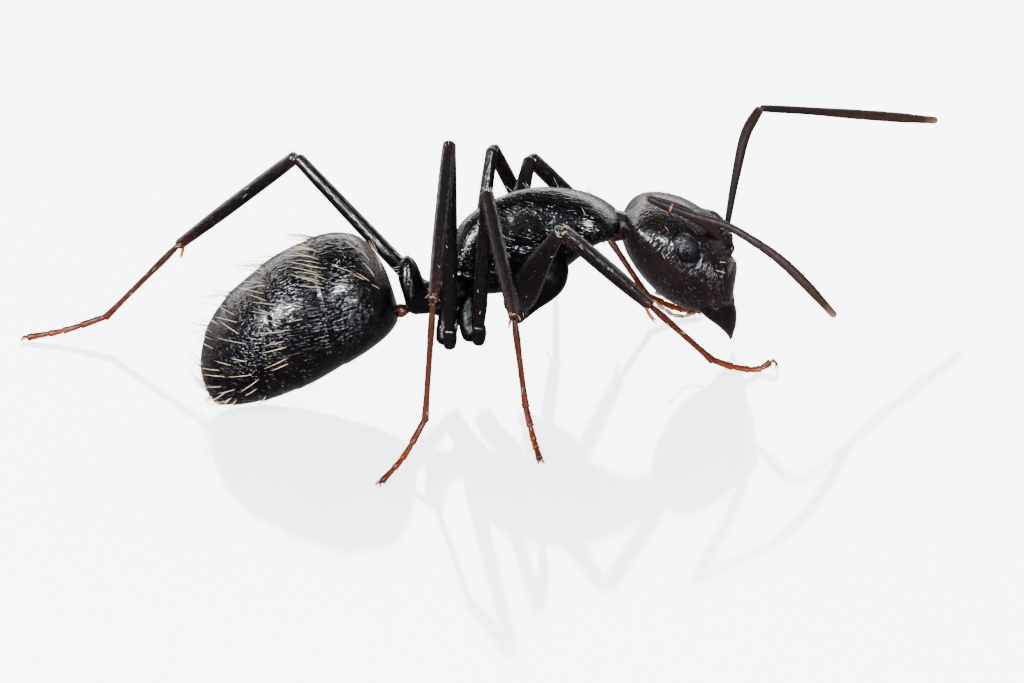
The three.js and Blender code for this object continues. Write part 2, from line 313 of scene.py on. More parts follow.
def solid_place(tree, scale=(1, 1, 1), tilt=0.0):
    """A texture place in the object's own millimetres, turned about the cross axis by tilt, then scaled."""
    coords = node(tree, "ShaderNodeTexCoord")
    turned = node(tree, "ShaderNodeMapping")
    turned.inputs["Rotation"].default_value = (0, math.radians(tilt), 0)
    turned.inputs["Scale"].default_value = (1 / MM, 1 / MM, 1 / MM)
    tree.links.new(coords.outputs["Object"], turned.inputs[0])
    mapping = node(tree, "ShaderNodeMapping")
    mapping.inputs["Scale"].default_value = scale
    tree.links.new(turned.outputs[0], mapping.inputs[0])
    return mapping.outputs[0]


def noise(tree, place, scale, detail=3.0, rough=0.6, distort=0.0):
    made = node(tree, "ShaderNodeTexNoise")
    made.inputs["Scale"].default_value = scale
    made.inputs["Detail"].default_value = detail
    made.inputs["Roughness"].default_value = rough
    made.inputs["Distortion"].default_value = distort
    tree.links.new(place, made.inputs["Vector"])
    return made.outputs["Fac"]


def ramp(tree, value, stops):
    made = node(tree, "ShaderNodeValToRGB")
    while len(made.color_ramp.elements) < len(stops):
        made.color_ramp.elements.new(0.5)
    for element, (at, colour) in zip(made.color_ramp.elements, stops):
        element.position = at
        element.color = (*colour, 1)
    tree.links.new(value, made.inputs[0])
    return made.outputs[0]


def multiplied(tree, first, second):
    both = node(tree, "ShaderNodeMix", data_type="RGBA", blend_type="MULTIPLY")
    both.inputs["Factor"].default_value = 1.0
    tree.links.new(first, both.inputs[6])
    tree.links.new(second, both.inputs[7])
    return both.outputs[2]


def grey(v):
    return (v, v, v)


def bumped(tree, shader, heights):
    """Stacks bumps, each a height from 0 to 1, its depth in metres and a strength."""
    normal = None
    for height, depth, strength in heights:
        made = node(tree, "ShaderNodeBump")
        made.inputs["Strength"].default_value = strength
        made.inputs["Distance"].default_value = depth
        tree.links.new(height, made.inputs["Height"])
        if normal:
            tree.links.new(normal, made.inputs["Normal"])
        normal = made.outputs[0]
    tree.links.new(normal, shader.inputs["Normal"])


BLACK = (0.0008, 0.0008, 0.0013)
WAVE_SCALE, WAVE_DEPTH = 2.2, 1.3e-5  # the shell's broad low waves: how many go in a millimetre, and metres


def shell_material(name, colour, roughness, tilt, fine, depth, brown=(0.0035, 0.0022, 0.002), spec=0.13):
    """Black cuticle cut with fine short lines, browner in patches. tilt is the lines' slope, and fine is how
    many there are in a millimetre along and across them."""
    made, tree, shader = material(name, colour, roughness, spec)
    along, across = fine
    lines = noise(tree, solid_place(tree, (along, across * 0.6, across), tilt), 1.0, 1.0, 0.5, 0.6)
    cut = ramp(tree, lines, [(0.4, grey(0)), (0.6, grey(1))])
    waves = noise(tree, solid_place(tree, (WAVE_SCALE,) * 3), 1.0, 2.0, 0.5)
    bumped(tree, shader, [(cut, depth, 1.0), (waves, WAVE_DEPTH, 0.25)])
    patches = noise(tree, solid_place(tree), 1.4)
    tint = ramp(tree, patches, [(0.4, colour), (0.8, brown)])
    tree.links.new(tint, shader.inputs["Base Color"])
    rubbed, dull = roughness * 0.85, roughness * 1.2
    wear = ramp(tree, noise(tree, solid_place(tree), 3.0), [(0.35, grey(rubbed)), (0.7, grey(dull))])
    tree.links.new(wear, shader.inputs["Roughness"])
    return made


gaster_shell = shell_material("gaster_shell", BLACK, 0.12, 6, (2.8, 34), 6.5e-6)
thorax_shell = shell_material("thorax_shell", BLACK, 0.16, -20, (3.4, 30), 4e-6)
head_shell = shell_material("head_shell", (0.004, 0.0026, 0.003), 0.15, 42, (3.2, 30), 6.5e-6,
                            brown=(0.009, 0.005, 0.0045))
coxa_shell = shell_material("coxa_shell", BLACK, 0.3, 60, (4, 20), 5e-6, spec=0.04)


def colour_run(tree, stops):
    """A colour that runs from one end of a limb or hair to the other."""
    split = node(tree, "ShaderNodeSeparateXYZ")
    tree.links.new(uv_place(tree, "Run"), split.inputs[0])
    return ramp(tree, split.outputs["Y"], stops)


def limb_material(name, stops, roughness, spec=0.2):
    """Finely lined and mottled cuticle whose colour runs from one end of a limb to the other."""
    made, tree, shader = material(name, stops[0][1], roughness, spec)
    run = colour_run(tree, stops)
    mottle = ramp(tree, noise(tree, solid_place(tree), 9.0), [(0.3, grey(0.72)), (0.7, grey(1.25))])
    tree.links.new(multiplied(tree, run, mottle), shader.inputs["Base Color"])
    lines = noise(tree, uv_place(tree, "Skin", (16, 5, 1)), 1.0, 2.0, 0.5)
    bumped(tree, shader, [(ramp(tree, lines, [(0.4, grey(0)), (0.62, grey(1))]), 5e-6, 0.8)])
    return made


DARK_LEG = (0.0026, 0.0017, 0.0018)
BROWN_LEG = (0.008, 0.0034, 0.003)
RUST = (0.05, 0.0078, 0.0022)
ORANGE = (0.26, 0.062, 0.007)
NEARLY_BLACK = (0.003, 0.002, 0.002)
femur_skin = limb_material("femur_skin", [(0.85, DARK_LEG), (1.0, BROWN_LEG)], 0.26, spec=0.14)
tibia_skin = limb_material("tibia_skin", [
    (0.0, BROWN_LEG), (0.3, DARK_LEG), (0.8, (0.0045, 0.0022, 0.002)), (1.0, (0.02, 0.005, 0.003))], 0.26)
tarsus_skin = limb_material("tarsus_skin", [
    (0.0, (0.026, 0.0042, 0.0018)), (0.3, (0.036, 0.0055, 0.0018)), (0.5, RUST), (0.8, (0.1, 0.015, 0.002)),
    (1.0, (0.05, 0.01, 0.003))], 0.34, spec=0.06)
feeler_skin = limb_material("feeler_skin", [
    (0.0, (0.006, 0.0038, 0.0034)), (0.5, (0.012, 0.0045, 0.0036)), (0.94, (0.018, 0.006, 0.0042)),
    (1.0, (0.11, 0.055, 0.04))], 0.5, spec=0.05)
orange_skin = limb_material("orange_skin", [(0.0, (0.13, 0.026, 0.004)), (1.0, ORANGE)], 0.35)
claw_skin = limb_material("claw_skin", [(0.0, (0.08, 0.018, 0.006)), (1.0, (0.02, 0.006, 0.004))], 0.3)
jaw_skin = limb_material("jaw_skin", [(0.0, NEARLY_BLACK), (1.0, (0.006, 0.0028, 0.0028))], 0.22)
palp_skin = limb_material("palp_skin", [(0.0, (0.06, 0.03, 0.015)), (1.0, (0.16, 0.1, 0.055))], 0.45)
neck_skin = limb_material("neck_skin", [
    (0.0, NEARLY_BLACK), (0.5, (0.012, 0.0035, 0.0028)), (0.8, (0.07, 0.012, 0.006))], 0.3)
waist_skin = limb_material("waist_skin", [
    (0.0, (0.02, 0.004, 0.003)), (0.5, (0.045, 0.009, 0.005)), (1.0, (0.01, 0.003, 0.003))], 0.25)


def bristle_material(name, root, tip):
    """A hair that is darker at its root."""
    made, tree, shader = material(name, tip, 0.35)
    run = colour_run(tree, [(0.0, root), (0.35, tip), (1.0, tip)])
    tree.links.new(run, shader.inputs["Base Color"])
    return made


golden = bristle_material("golden_bristles", (0.25, 0.15, 0.06), (0.56, 0.42, 0.25))
pale = bristle_material("pale_hairs", (0.02, 0.017, 0.015), (0.09, 0.075, 0.065))
reddish = bristle_material("reddish_hairs", (0.02, 0.008, 0.004), (0.05, 0.022, 0.01))


def facet_and_glint_material():
    """An eye of many small domes, each with a painted highlight that makes it paler at its top."""
    made, tree, shader = material("facets_with_painted_glints", (0.005, 0.0038, 0.0042), 0.25, 0.1)
    cells = node(tree, "ShaderNodeTexVoronoi", feature="F1")
    cells.inputs["Scale"].default_value = 36.0
    cells.inputs["Randomness"].default_value = 0.25
    tree.links.new(solid_place(tree), cells.inputs["Vector"])
    distance, edge = cells.outputs["Distance"], 0.6
    dome = ramp(tree, distance, [(0.0, grey(1)), (edge, grey(0))])
    bumped(tree, shader, [(dome, 9e-6, 0.9)])
    # painted highlight: each facet's middle is paler and bluer than its dark rim, a glint painted into the
    # colour
    tint = ramp(tree, distance, [(0.0, (0.005, 0.005, 0.007)), (edge, (0.001, 0.001, 0.0015))])
    tree.links.new(tint, shader.inputs["Base Color"])
    return made


facets_with_painted_glints = facet_and_glint_material()


# ---- body parts ------------------------------------------------------------------------------

gaster = loft(
    [[-2.16, 1.66], [-2.38, 2.58], [-2.78, 3.19], [-3.3, 3.33], [-3.9, 3.22], [-4.5, 2.99],
     [-5.1, 2.62], [-5.64, 2.2], [-6.05, 1.62], [-6.24, 0.92], [-6.14, 0.3]],
    [[-2.16, 1.66], [-2.22, 1.42], [-2.42, 1.2], [-2.82, 0.95], [-3.4, 0.68], [-4.0, 0.42],
     [-4.6, 0.23], [-5.15, 0.12], [-5.62, 0.1], [-5.98, 0.13], [-6.14, 0.3]],
    [0, 0.62, 1.02, 1.26, 1.37, 1.38, 1.29, 1.08, 0.8, 0.42, 0],
    220, 160)

# Each plate rises rearwards and ends in a low step over the next one.
PLATE_ENDS = [0.385, 0.56, 0.69, 0.81]
PLATE_RISE, PLATE_TUCK = 0.016, 0.008
PAST_THE_TIP = 1.2  # where the last plate would end


def plate_step(t):
    low = np.zeros_like(t)
    start = 0.0
    for end in PLATE_ENDS + [PAST_THE_TIP]:
        inside = (t >= start) & (t < end)
        ride = np.clip((t - start) / (end - start), 0, 1)
        tuck = PLATE_TUCK if start else 0
        low = np.where(inside, PLATE_RISE * ride ** 2 - tuck * (1 - ride) ** 8, low)
        start = end
    return low


gaster_along, _ = np.meshgrid(gaster.t, gaster.a, indexing="ij")
gaster.push(plate_step(gaster_along))

thorax = loft(
    [[-1.02, 2.05], [-1.0, 2.7], [-0.74, 3.24], [-0.2, 3.6], [0.5, 3.8], [1.2, 3.76],
     [1.9, 3.5], [2.36, 3.15], [2.5, 2.9]],
    [[-1.02, 2.05], [-0.95, 1.9], [-0.6, 1.78], [0.05, 1.74], [0.7, 1.82], [1.3, 2.15],
     [1.9, 2.56], [2.3, 2.66], [2.5, 2.9]],
    [0, 0.42, 0.56, 0.62, 0.68, 0.78, 0.82, 0.56, 0],
    220, 160)


def groove(grid, line, width, depth):
    """How far a surface goes out, always negative, near a line of x, z points in side view."""
    line = np.asarray(line, float)
    best = np.full(grid.shape[:2], 1e9)
    for p, q in zip(line[:-1], line[1:]):
        d = q - p
        w = np.clip(((grid[..., 0] - p[0]) * d[0] + (grid[..., 2] - p[1]) * d[1]) / (d @ d), 0, 1)
        best = np.minimum(best, np.hypot(grid[..., 0] - p[0] - w * d[0], grid[..., 2] - p[1] - w * d[1]))
    return -depth * np.exp(-((best / width) ** 2))


# The seams between the thorax's plates, each with its width and depth.
SEAMS = (
    ([[1.3, 3.9], [1.22, 3.6], [1.02, 3.3], [0.98, 2.95], [1.15, 2.7], [1.5, 2.55]], 0.05, 0.01),
    ([[0.18, 3.9], [0.2, 3.45], [0.3, 3.1], [0.28, 2.9]], 0.05, 0.008),
    ([[0.28, 2.9], [0.1, 2.5], [0.12, 2.1], [0.2, 1.6]], 0.05, 0.035),
    ([[0.98, 2.95], [0.6, 2.85], [0.28, 2.9]], 0.04, 0.035),
    ([[-0.95, 2.45], [-0.5, 2.35], [0.1, 2.5]], 0.05, 0.035),
)
thorax.push(sum(groove(thorax.grid, line, width, depth) for line, width, depth in SEAMS))

neck = tube([[2.1, 0, 2.86], [2.45, 0, 2.8], [2.78, 0, 2.62]], [0.36, 0.3, 0.2], 30, 40)
waist = tube([[-2.34, 0, 1.6], [-2.13, 0, 1.6], [-1.94, 0, 1.62]], [0.07, 0.14, 0.07], 30, 30)

petiole = loft(
    [[-2.04, 1.62], [-2.03, 1.8], [-2.06, 2.05], [-2.1, 2.32], [-2.04, 2.6], [-1.89, 2.73],
     [-1.75, 2.64], [-1.66, 2.42], [-1.6, 2.2], [-1.35, 2.1], [-0.7, 2.0]],
    [[-2.04, 1.62], [-2.0, 1.58], [-1.95, 1.55], [-1.9, 1.52], [-1.85, 1.5], [-1.78, 1.49],
     [-1.7, 1.48], [-1.6, 1.48], [-1.4, 1.55], [-1.15, 1.7], [-0.7, 2.0]],
    [0, 0.16, 0.24, 0.34, 0.4, 0.38, 0.33, 0.28, 0.26, 0.26, 0],
    120, 80)

# The head hangs down by DIP, and places on it are given on its own axes.
HEAD_MIDDLE = np.array([3.45, 0.0, 2.21])
DIP = math.radians(48)
AXIS = np.array([math.cos(DIP), 0, -math.sin(DIP)])
CROWN = np.array([math.sin(DIP), 0, math.cos(DIP)])


def on_head(along, across, above):
    """A place from its distances along the head's own axis, across it and above it."""
    return HEAD_MIDDLE + along * AXIS + np.array([0, across, 0]) + above * CROWN


def head_rail(points):
    return [[on_head(x, 0, y)[0], on_head(x, 0, y)[2]] for x, y in points]


head = loft(
    head_rail([[-1.24, -0.12], [-1.15, 0.34], [-0.92, 0.62], [-0.5, 0.85], [0, 0.95], [0.38, 0.98],
               [0.68, 0.9], [0.95, 0.68], [1.28, 0.35], [1.46, 0.1], [1.5, -0.14]]),
    head_rail([[-1.24, -0.12], [-1.1, -0.38], [-0.8, -0.62], [-0.35, -0.79], [0.1, -0.87], [0.5, -0.88],
               [0.86, -0.8], [1.1, -0.68], [1.32, -0.46], [1.45, -0.28], [1.5, -0.14]]),
    [0, 0.78, 1.06, 1.2, 1.22, 1.18, 1.12, 1.04, 0.9, 0.62, 0],
    240, 200)


def head_parts(grid):
    """How far each point is along, across and above the head's own axis, which on_head puts together."""
    rel = grid - HEAD_MIDDLE
    return rel @ AXIS, rel[..., 1], rel @ CROWN


EYE = (-0.1, 1.06, 0.35)  # along, across and above
EYE_HALF_SIZES = [0.19, 0.365, 0.285]
LEAN_ALONG, LEAN_ABOVE = 0.9, 0.43  # the way an eye's long axis points
EYE_LONG = unit(AXIS * LEAN_ALONG - CROWN * LEAN_ABOVE)
EYE_WIDE = unit(AXIS * LEAN_ABOVE + CROWN * LEAN_ALONG)


def head_relief(grid):
    """How far the eyes' rims, the ridges, the sockets and the clypeus rise from the plain head or sink in."""
    along, across, above = head_parts(grid)
    off = np.abs(across)
    top = above > 0.2
    long_way = LEAN_ALONG * (along - EYE[0]) - LEAN_ABOVE * (above - EYE[2])
    wide_way = LEAN_ABOVE * (along - EYE[0]) + LEAN_ALONG * (above - EYE[2])
    rise = -0.014 * bump_at(np.hypot(long_way / 0.375, wide_way / 0.3), 1, 0.07) * (off > 0.6)
    # frontal ridges beside the feeler sockets, and the sockets
    ridge = np.abs(off - (0.3 + 0.12 * np.clip(0.8 - along, 0, 1)))
    rise += 0.09 * bump_at(ridge, 0, 0.06) * step(along, -0.1, 0.25) * (1 - step(along, 0.78, 0.9)) * top
    rise -= 0.11 * bump_at(np.hypot(along - 0.74, off - 0.47), 0, 0.13) * top
    # the clypeus: the groove behind it, its crown, its keel and the groove down each side of it
    rise -= 0.075 * bump_at(along, 0.98, 0.06) * (off < 0.75) * top
    rise += 0.04 * bump_at(along, 1.16, 0.16) * bump_at(across, 0, 0.5) * top
    rise += 0.02 * bump_at(across, 0, 0.035) * step(along, 0.95, 1.05) * top
    own = np.stack([along, across, above], axis=-1)
    return rise + groove(own, [[0.8, 0.5], [0.86, 0.36], [1.03, 0.16], [1.4, 0.04]], 0.03, 0.05) * (off > 0.3)


head.push(head_relief(head.grid))

make_from([gaster], "gaster_shell", gaster_shell, ["gaster"])
make_from([thorax], "thorax_shell", thorax_shell, ["thorax"])
make_from([petiole], "petiole_shell", thorax_shell, ["petiole"])
make_from([head], "head_shell", head_shell, ["head"])
make_from([neck], "neck", neck_skin, ())
make_from([waist], "waist_ring", waist_skin, ())

# ---- eyes and jaws ---------------------------------------------------------------------------

for name, side in SIDES:
    middle = on_head(EYE[0], EYE[1] * side, EYE[2])
    eye = ellipsoid(middle, [[0, side, 0], EYE_LONG, EYE_WIDE], EYE_HALF_SIZES)
    make_from([eye], f"eye_{name}_lens", facets_with_painted_glints, [f"eye_{name}"])

# A jaw's outer and inner edges, as places along, across and above on the head's own axes.
JAW_OUTSIDE = [[1.0, 0.9, -0.3], [1.3, 0.9, -0.27], [1.6, 0.76, -0.3], [1.88, 0.5, -0.44],
               [2.11, 0.12, -0.68]]
JAW_INSIDE = [[1.0, 0.4, -0.3], [1.3, 0.3, -0.27], [1.6, 0.09, -0.28], [1.86, 0.06, -0.44],
              [2.12, 0.08, -0.68]]
JAW_HALF_DEPTHS = [0.22, 0.27, 0.27, 0.17, 0.04]
JAW_TOOTH = 0.035
JAW_END = 0.03  # the share of its length in which each end rounds off


def jaw_surface(side):
    """A stout three-cornered jaw: deep at its root, bowed outside, with a toothed edge to the middle."""
    def place(t, a):
        ts = t[:, 0]
        outer, inner = (through([on_head(x, y * side, z) for x, y, z in edge], ts)
                        for edge in (JAW_OUTSIDE, JAW_INSIDE))
        teeth = np.abs(np.sin(ts * 5.5 * math.pi)) * step(ts, 0.48, 0.55) * (1 - step(ts, 0.97, 1.0))
        inner = inner - unit(inner - outer) * (JAW_TOOTH * teeth)[:, None]
        middle, half = (outer + inner) / 2, (outer - inner) / 2
        depth = eased(JAW_HALF_DEPTHS, ts)
        turn = a * 2 * math.pi - math.pi
        from_end = np.clip(np.minimum(ts, 1 - ts) / JAW_END, 0, 1)
        close = np.sqrt(np.clip(1 - (1 - from_end) ** 2, 0, 1))
        wide = half[:, None] * (np.sin(turn) * close[:, None])[..., None]
        tall = CROWN * (np.cos(turn) * (depth * close)[:, None])[..., None]
        return middle[:, None] + wide + tall

    return Surface(place, 120, 48)


for name, side in SIDES:
    make_from([jaw_surface(side)], f"jaw_{name}", jaw_skin, [f"mandible_{name}"])

# ---- feelers ---------------------------------------------------------------------------------

FEELERS = {
    "right": dict(base=[4.47, -0.4, 2.13], bends=[[4.27, -0.62, 2.65], [3.84, -1.15, 3.27]],
                  elbow=[3.0, -2.16, 4.1],
                  bows=[[3.78, -2.35, 3.72], [4.5, -2.52, 3.44], [4.99, -2.62, 3.09], [5.44, -2.7, 2.69],
                        [5.88, -2.75, 2.15]],
                  tip=[6.43, -2.75, 1.34]),
    "left": dict(base=[4.47, 0.4, 2.13], bends=[[4.87, 1.5, 3.09], [5.17, 2.1, 3.71]],
                 elbow=[5.51, 2.55, 4.03], bows=[[6.4, 3.16, 3.65], [7.25, 3.75, 3.27]],
                 tip=[9.08, 4.85, 2.5]),
}
SCAPE_RADII = [0.055, 0.075, 0.095, 0.105, 0.11, 0.09]
BEAD_RADII = [0.07, 0.078, 0.078, 0.082, 0.09, 0.1, 0.1, 0.07]
SOCKET_BALL = 0.1
FIRST_BEAD, BEADS = 0.095, 11  # the long first bead's share of the flagellum, and how many there are


def jointed(points, radii, cuts, pinch, flare, rings=22, sides=18, ends=0.6):
    """One limb cut into joints at shares cuts of its line: each starts pinched and flares towards its end."""
    def shape(ts):
        r = np.ones_like(ts)
        for start, end in zip(cuts[:-1], cuts[1:]):
            w = np.clip((ts - start) / (end - start), 0, 1)
            root, edge = bump_at(w, 0, 0.09), bump_at(w, 1, 0.035)
            own = 1 - pinch * root + flare * w ** 2 - (pinch * 0.5 + flare) * edge
            r = np.where((ts >= start) & (ts <= end), own, r)
        return r

    return tube(points, radii, rings * (len(cuts) - 1), sides, ends=ends, shape=shape)


def feeler(name, base, bends, elbow, bows, tip):
    """A scape from its ball at the head to the elbow, the beaded flagellum and the ring where they meet."""
    scape = tube([base, *bends, elbow], SCAPE_RADII, 70, 24)
    ball = ellipsoid(base, np.eye(3), [SOCKET_BALL] * 3, 20, 20)
    make_from([scape, ball], f"scape_{name}_shell", feeler_skin, [f"scape_{name}"])
    line = [elbow, *bows, tip]
    cuts = [0.0] + list(np.linspace(FIRST_BEAD, 1, BEADS))
    beads = jointed(line, BEAD_RADII, cuts, 0.06, 0.03, ends=1.2)
    make_from([beads], f"flagellum_{name}_beads", feeler_skin, [f"flagellum_{name}"])
    start, end = through(line, [0.088, 0.104])
    ring = tube([start, (start + end) / 2, end], [0.084, 0.088, 0.084], 10, 18)
    make_from([ring], f"feeler_{name}_ring", orange_skin, ())


for name, s in FEELERS.items():
    feeler(name, np.array(s["base"]), s["bends"], np.array(s["elbow"]), s["bows"], np.array(s["tip"]))

# ---- legs ------------------------------------------------------------------------------------

# Each leg's joints, as x, distance out from the middle, and z.
LEGS = {
    "front_right": dict(side=-1, hip=[1.15, 0.5, 2.7], trochanter=[0.18, 1.1, 1.55], knee=[1.24, 2.7, 3.85],
                        ankle=[2.83, 2.46, 1.93], heel=[3.93, 2.0, 0.45], toe=[4.8, 1.73, 0],
                        tip=[5.07, 1.7, 0.18]),
    "middle_right": dict(side=-1, hip=[-0.7, 0.6, 2.05], trochanter=[-0.66, 1.25, 1.22],
                         knee=[-0.14, 1.69, 4.46], ankle=[0.1, 4.06, 2.6], heel=[0.11, 4.35, 0.8],
                         toe=[0.26, 5.35, 0]),
    "hind_right": dict(side=-1, hip=[-0.85, 0.3, 2.15], trochanter=[-1.24, 1.0, 1.12],
                       knee=[-0.75, 1.32, 5.46], ankle=[-1.45, 4.17, 3.2], heel=[-1.9, 4.55, 0.85],
                       toe=[-2.89, 5.5, 0]),
    "front_left": dict(side=1, hip=[1.0, 0.5, 2.6], trochanter=[0.05, 0.62, 1.2], knee=[0.81, 2.85, 3.48],
                       ankle=[2.07, 3.38, 1.64], heel=[2.84, 2.4, 0.35], toe=[3.75, 2.0, 0]),
    "middle_left": dict(side=1, hip=[-0.15, 0.55, 2.05], trochanter=[-0.7, 1.25, 1.25],
                        knee=[0.08, 2.9, 3.77], ankle=[0.85, 3.9, 1.21], heel=[1.0, 5.5, 0.4],
                        toe=[1.1, 6.75, 0]),
    "hind_left": dict(side=1, hip=[-0.82, 0.42, 2.05], trochanter=[-1.3, 1.0, 1.12],
                      knee=[-3.85, 3.1, 4.02], ankle=[-6.47, 4.63, 1.9], heel=[-8.14, 4.95, 0.42],
                      toe=[-9.76, 5.35, 0]),
}
SLIM_COXA = [0.2, 0.25, 0.24, 0.22, 0.21, 0.17]
# coxa and femur are radii along them, tibia and tarsus single radii, coxa_back is how far behind the joint
# the coxa ends, and bow is how far the femur bows rearwards.
SIZES = {
    "front": dict(coxa=[0.2, 0.42, 0.5, 0.42, 0.26, 0.15], coxa_back=0.0,
                  femur=[0.13, 0.25, 0.31, 0.3, 0.25, 0.18, 0.15], bow=0.13, tibia=0.162, tarsus=0.062),
    "middle": dict(coxa=SLIM_COXA, coxa_back=0.11,
                   femur=[0.12, 0.16, 0.165, 0.16, 0.155, 0.15, 0.14], bow=0.0, tibia=0.145, tarsus=0.06),
    "hind": dict(coxa=SLIM_COXA, coxa_back=0.11,
                 femur=[0.13, 0.19, 0.19, 0.185, 0.175, 0.165, 0.15], bow=0.0, tibia=0.145, tarsus=0.06),
}
TOE_TOP = 0.075  # height of a toe's axis over the floor
CLAW_END = 0.008  # height of a claw's point over the floor
limbs = {}


def tarsus_parts(ankle, heel, toe, tip, r):
    """The long first joint, then three short ones and the last, each flaring at its end, and their line."""
    toe = toe.copy()
    toe[2] = TOE_TOP
    way = toe - heel
    sag = np.array([0, 0, -0.12 * min(1.0, abs(way[2]))])
    start = heel + unit(ankle - heel) * 0.07
    line = [start, heel + way * 0.5 + sag, toe]
    if tip is not None:
        line = [start, heel + way * 0.45 + sag, toe, tip]
    first_radii = [r * 0.95, r * 1.2, r, r * 0.98, r, r * 1.3]
    last_radii = [r * 1.05, r * 0.95, r * 0.92, r * 0.95]
    first = tube([ankle, ankle * 0.5 + heel * 0.5, heel], first_radii, 50, 16)
    last = jointed(line, last_radii, [0.0, 0.32, 0.54, 0.72, 1.0], 0.2, 0.32, 22, 14)
    return [first, last], line


def claw_pair(line):
    """Two hooked claws, from the end of a foot's line to just over the floor."""
    end = line[-1]
    ahead = unit((line[-1] - line[1]) * np.array([1, 1, 0]))
    aside = np.cross([0, 0, 1], ahead)
    fall = end[2] - CLAW_END
    claws = []
    for k in (-1, 1):
        points = [end, end + ahead * 0.06 + aside * 0.03 * k + [0, 0, 0.012],
                  end + ahead * 0.1 + aside * 0.055 * k - [0, 0, fall * 0.35],
                  end + ahead * 0.085 + aside * 0.06 * k - [0, 0, fall]]
        claws.append(tube(points, [0.032, 0.03, 0.02, 0.006], 24, 10))
    return claws


def spur_comb(front, ankle, heel, down):
    """The spur under the end of the tibia, and the short comb of stiff hairs beside it."""
    first = unit(heel - ankle)
    under = unit(np.cross(np.cross(down, first), down) * 0.3 + [-0.25, 0, -1])
    hang = unit(down * 0.7 - [0, 0, 0.5]) if front else unit([-0.33, 0, -0.94])
    comb = []
    for k in range(4 if front else 2):
        root = ankle - down * (0.22 - 0.035 * k) + under * 0.07
        length = (0.58 if front else 0.36) * (1 - 0.13 * k)
        aim = unit(hang + chance.normal(0, 0.12, 3) * (k > 0))
        points = [root, root + aim * length * 0.5 + under * 0.04, root + aim * length]
        radii = [0.016, 0.014, 0.01, 0.004] if k else [0.016, 0.03, 0.02, 0.004]
        comb.append(tube(points, radii, 24, 10))
    return comb


def leg(name, side, hip, trochanter, knee, ankle, heel, toe, tip=None):
    """One leg, from the hip in the thorax to the claws, over the CAD solids with its name."""
    part = name.split("_")[0]
    size = SIZES[part]
    hip, trochanter, knee, ankle, heel, toe = (
        np.array(joint, float) * [1, side, 1] for joint in (hip, trochanter, knee, ankle, heel, toe)
    )
    if tip is not None:
        tip = np.array(tip) * [1, side, 1]
    back = np.array([size["coxa_back"], 0, 0])
    coxa = tube([hip, hip * 0.5 + trochanter * 0.5 - back, trochanter - back], size["coxa"], 60, 40)
    make_from([coxa], f"coxa_{name}_shell", coxa_shell, [f"coxa_{name}"])

    on = unit(knee - trochanter)
    bulb_line = [trochanter - on * 0.1, trochanter + on * 0.12, trochanter + on * 0.38]
    bulb = tube(bulb_line, [0.11, 0.15, 0.13], 24, 24)
    swing = (trochanter + knee) / 2 - np.array([size["bow"], 0, 0])
    femur_line = [trochanter + on * 0.3, swing, knee]
    femur = tube(femur_line, size["femur"], 70, 32, flat=0.85, flat_way=(1, 0, 0))
    make_from([femur, bulb], f"femur_{name}_shell", femur_skin, [f"femur_{name}"])

    down = unit(ankle - knee)
    r = size["tibia"]
    tibia_radii = [r * 0.92, r, r, r * 0.98, r * 0.88, r * 0.74]
    tibia = tube([knee - down * 0.02, (knee + ankle) / 2, ankle], tibia_radii, 70, 28)
    make_from([tibia], f"tibia_{name}_shell", tibia_skin, [f"tibia_{name}"])

    tarsus, line = tarsus_parts(ankle, heel, toe, tip, size["tarsus"])
    make_from(tarsus, f"tarsus_{name}_joints", tarsus_skin, [f"tarsus_{name}"], shared=True)
    make_from(claw_pair(line), f"claws_{name}", claw_skin, ())
    make_from(spur_comb(part == "front", ankle, heel, down), f"spur_{name}", orange_skin, ())
    limbs[name] = dict(femur=femur, tibia=tibia, tarsus=tarsus)


for name, joints in LEGS.items():
    leg(name, **joints)

# ---- palps -----------------------------------------------------------------------------------

PALP = [[1.15, 0.3, -0.62], [1.0, 0.42, -0.86], [0.8, 0.45, -0.98], [0.6, 0.42, -1.0], [0.42, 0.36, -1.04]]

for name, side in SIDES:
    spots = [on_head(x, y * side, z) for x, y, z in PALP]
    palp = [tube([p, (p + q) / 2, q], [0.03, 0.042, 0.035], 14, 12) for p, q in zip(spots[:-1], spots[1:])]
    make_from(palp, f"palp_{name}", palp_skin, ())

# ---- bristles and hairs ----------------------------------------------------------------------

HAIR_PATCH = 0.003  # each hair's share of the unwrap, which stays PATCH_EDGE inside it
PATCH_EDGE = 0.004
FLOOR_GAP, SHORTEST_DROP = 0.03, 0.005


